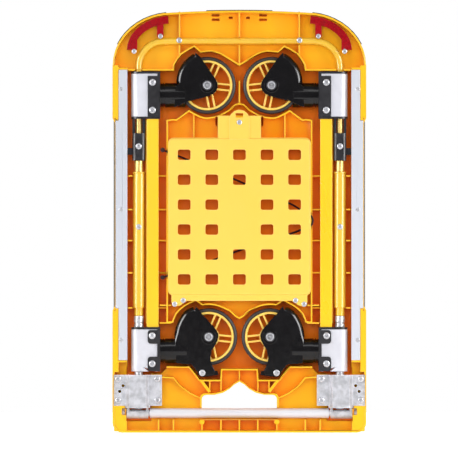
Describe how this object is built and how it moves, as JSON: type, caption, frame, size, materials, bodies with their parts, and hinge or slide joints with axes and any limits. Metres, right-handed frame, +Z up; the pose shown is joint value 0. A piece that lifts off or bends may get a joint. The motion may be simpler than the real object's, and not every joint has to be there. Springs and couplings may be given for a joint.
{
  "type": "folding platform trolley",
  "caption": "Folding platform trolley folded flat, underside out: swing-out swivel casters, U handle, ribbed plastic deck, side rails and a perforated tray cover.",
  "frame": {"origin": "middle of the handle end of the folded trolley, on the plane it stands on", "axes": "+Z up the deck from the handle end to the rounded front end, -Y out of the underside where the wheels fold in, +Y out of the load face, +X to the right seen from the underside"},
  "size_m": [0.445, 0.0804, 0.7419],
  "materials": {
    "deck_plastic": "satin moulded polypropylene, saturated yellow",
    "cover_plastic": "satin moulded polypropylene, lighter yellow",
    "yellow_paint": "yellow powder coat on steel",
    "aluminium": "extruded, matt anodised",
    "cast_aluminium": "rough die casting",
    "block_casting": "light machined casting",
    "black_plastic": "black glass-filled nylon, glossy",
    "rubber": "matt rubber",
    "tyre_rubber": "solid rubber tread",
    "wheel_plastic": "moulded nylon, light yellow",
    "steel": "zinc plated",
    "handle_steel": "bright plated tube",
    "foam": "soft foam sleeve",
    "red_reflector": "clear red moulding",
    "elastic_cord": "braided elastic cord"
  },
  "bodies": {
    "deck": {"deck": "deck_plastic", "front_frame_tube": "yellow_paint", "side_rail_left": "aluminium", "side_rail_right": "aluminium", "compartment_cover": "cover_plastic", "corner_reflector_left": "red_reflector", "corner_reflector_right": "red_reflector", "corner_bumper_left": "rubber", "corner_bumper_right": "rubber", "front_bumper": "rubber", "hinge_housing_left": "cast_aluminium", "hinge_housing_right": "cast_aluminium", "pivot_rod_left": "steel", "pivot_rod_right": "steel", "pivot_tube_left": "yellow_paint", "pivot_tube_right": "yellow_paint", "pivot_collar_left": "aluminium", "pivot_collar_right": "aluminium", "tube_clamp_left": "black_plastic", "tube_clamp_right": "black_plastic", "bungee_cord": "elastic_cord", "deck_mat": "rubber"},
    "handle": {"handle_tube": "handle_steel", "handle_grip": "foam", "cross_shaft": "aluminium", "handle_arm_left": "cast_aluminium", "handle_arm_right": "cast_aluminium", "shaft_gear_left": "steel", "shaft_gear_right": "steel"},
    "leg_left": {"swing_block_front_left": "block_casting", "swing_block_rear_left": "block_casting", "caster_mount_front_left": "black_plastic", "caster_mount_rear_left": "black_plastic", "link_bar_left": "yellow_paint", "leg_gear_left": "steel"},
    "caster_front_left": {"caster_hood_front_left": "black_plastic", "axle_bolt_front_left": "steel"},
    "wheel_front_left": {"tyre_front_left": "tyre_rubber", "wheel_rim_front_left": "wheel_plastic"},
    "caster_rear_left": {"caster_hood_rear_left": "black_plastic", "axle_bolt_rear_left": "steel"},
    "wheel_rear_left": {"tyre_rear_left": "tyre_rubber", "wheel_rim_rear_left": "wheel_plastic"},
    "pedal_left": {"brake_pedal_left": "black_plastic"},
    "leg_right": {"swing_block_front_right": "block_casting", "swing_block_rear_right": "block_casting", "caster_mount_front_right": "black_plastic", "caster_mount_rear_right": "black_plastic", "link_bar_right": "yellow_paint", "leg_gear_right": "steel"},
    "caster_front_right": {"caster_hood_front_right": "black_plastic", "axle_bolt_front_right": "steel"},
    "wheel_front_right": {"tyre_front_right": "tyre_rubber", "wheel_rim_front_right": "wheel_plastic"},
    "caster_rear_right": {"caster_hood_rear_right": "black_plastic", "axle_bolt_rear_right": "steel"},
    "wheel_rear_right": {"tyre_rear_right": "tyre_rubber", "wheel_rim_rear_right": "wheel_plastic"},
    "pedal_right": {"brake_pedal_right": "black_plastic"}
  },
  "joints": [
    {"name": "handle_fold", "type": "hinge", "parent": "deck", "child": "handle", "pos_m": [0, -0.01875, 0.0337], "axis": [-1, 0, 0], "range_deg": [0, 90]},
    {"name": "leg_left_swing", "type": "hinge", "parent": "deck", "child": "leg_left", "pos_m": [-0.1766, -0.01875, 0.37], "axis": [0, 0, -1], "range_deg": [0, 90]},
    {"name": "caster_front_left_swivel", "type": "hinge", "parent": "leg_left", "child": "caster_front_left", "pos_m": [-0.139, -0.01875, 0.5917], "axis": [1, 0, 0], "range_deg": [-5, 5]},
    {"name": "wheel_front_left_spin", "type": "hinge", "parent": "caster_front_left", "child": "wheel_front_left", "pos_m": [-0.0563, -0.01875, 0.6089], "axis": [0, 1, 0], "continuous": true},
    {"name": "caster_rear_left_swivel", "type": "hinge", "parent": "leg_left", "child": "caster_rear_left", "pos_m": [-0.139, -0.01875, 0.1433], "axis": [1, 0, 0], "range_deg": [-5, 5]},
    {"name": "wheel_rear_left_spin", "type": "hinge", "parent": "caster_rear_left", "child": "wheel_rear_left", "pos_m": [-0.0537, -0.01875, 0.1677], "axis": [0, 1, 0], "continuous": true},
    {"name": "pedal_left_press", "type": "hinge", "parent": "caster_rear_left", "child": "pedal_left", "pos_m": [-0.0651, -0.01875, 0.1047], "axis": [0, 1, 0], "range_deg": [0, 12]},
    {"name": "leg_right_swing", "type": "hinge", "parent": "deck", "child": "leg_right", "pos_m": [0.1766, -0.01875, 0.37], "axis": [0, 0, 1], "range_deg": [0, 90]},
    {"name": "caster_front_right_swivel", "type": "hinge", "parent": "leg_right", "child": "caster_front_right", "pos_m": [0.139, -0.01875, 0.5917], "axis": [1, 0, 0], "range_deg": [-5, 5]},
    {"name": "wheel_front_right_spin", "type": "hinge", "parent": "caster_front_right", "child": "wheel_front_right", "pos_m": [0.0563, -0.01875, 0.6089], "axis": [0, 1, 0], "continuous": true},
    {"name": "caster_rear_right_swivel", "type": "hinge", "parent": "leg_right", "child": "caster_rear_right", "pos_m": [0.139, -0.01875, 0.1433], "axis": [1, 0, 0], "range_deg": [-5, 5]},
    {"name": "wheel_rear_right_spin", "type": "hinge", "parent": "caster_rear_right", "child": "wheel_rear_right", "pos_m": [0.0537, -0.01875, 0.1677], "axis": [0, 1, 0], "continuous": true},
    {"name": "pedal_right_press", "type": "hinge", "parent": "caster_rear_right", "child": "pedal_right", "pos_m": [0.0651, -0.01875, 0.1047], "axis": [0, -1, 0], "range_deg": [0, 12]}
  ],
  "couplings": [
    {"joint": "leg_left_swing", "follows": "handle_fold", "ratio": 1},
    {"joint": "leg_right_swing", "follows": "handle_fold", "ratio": 1}
  ]
}
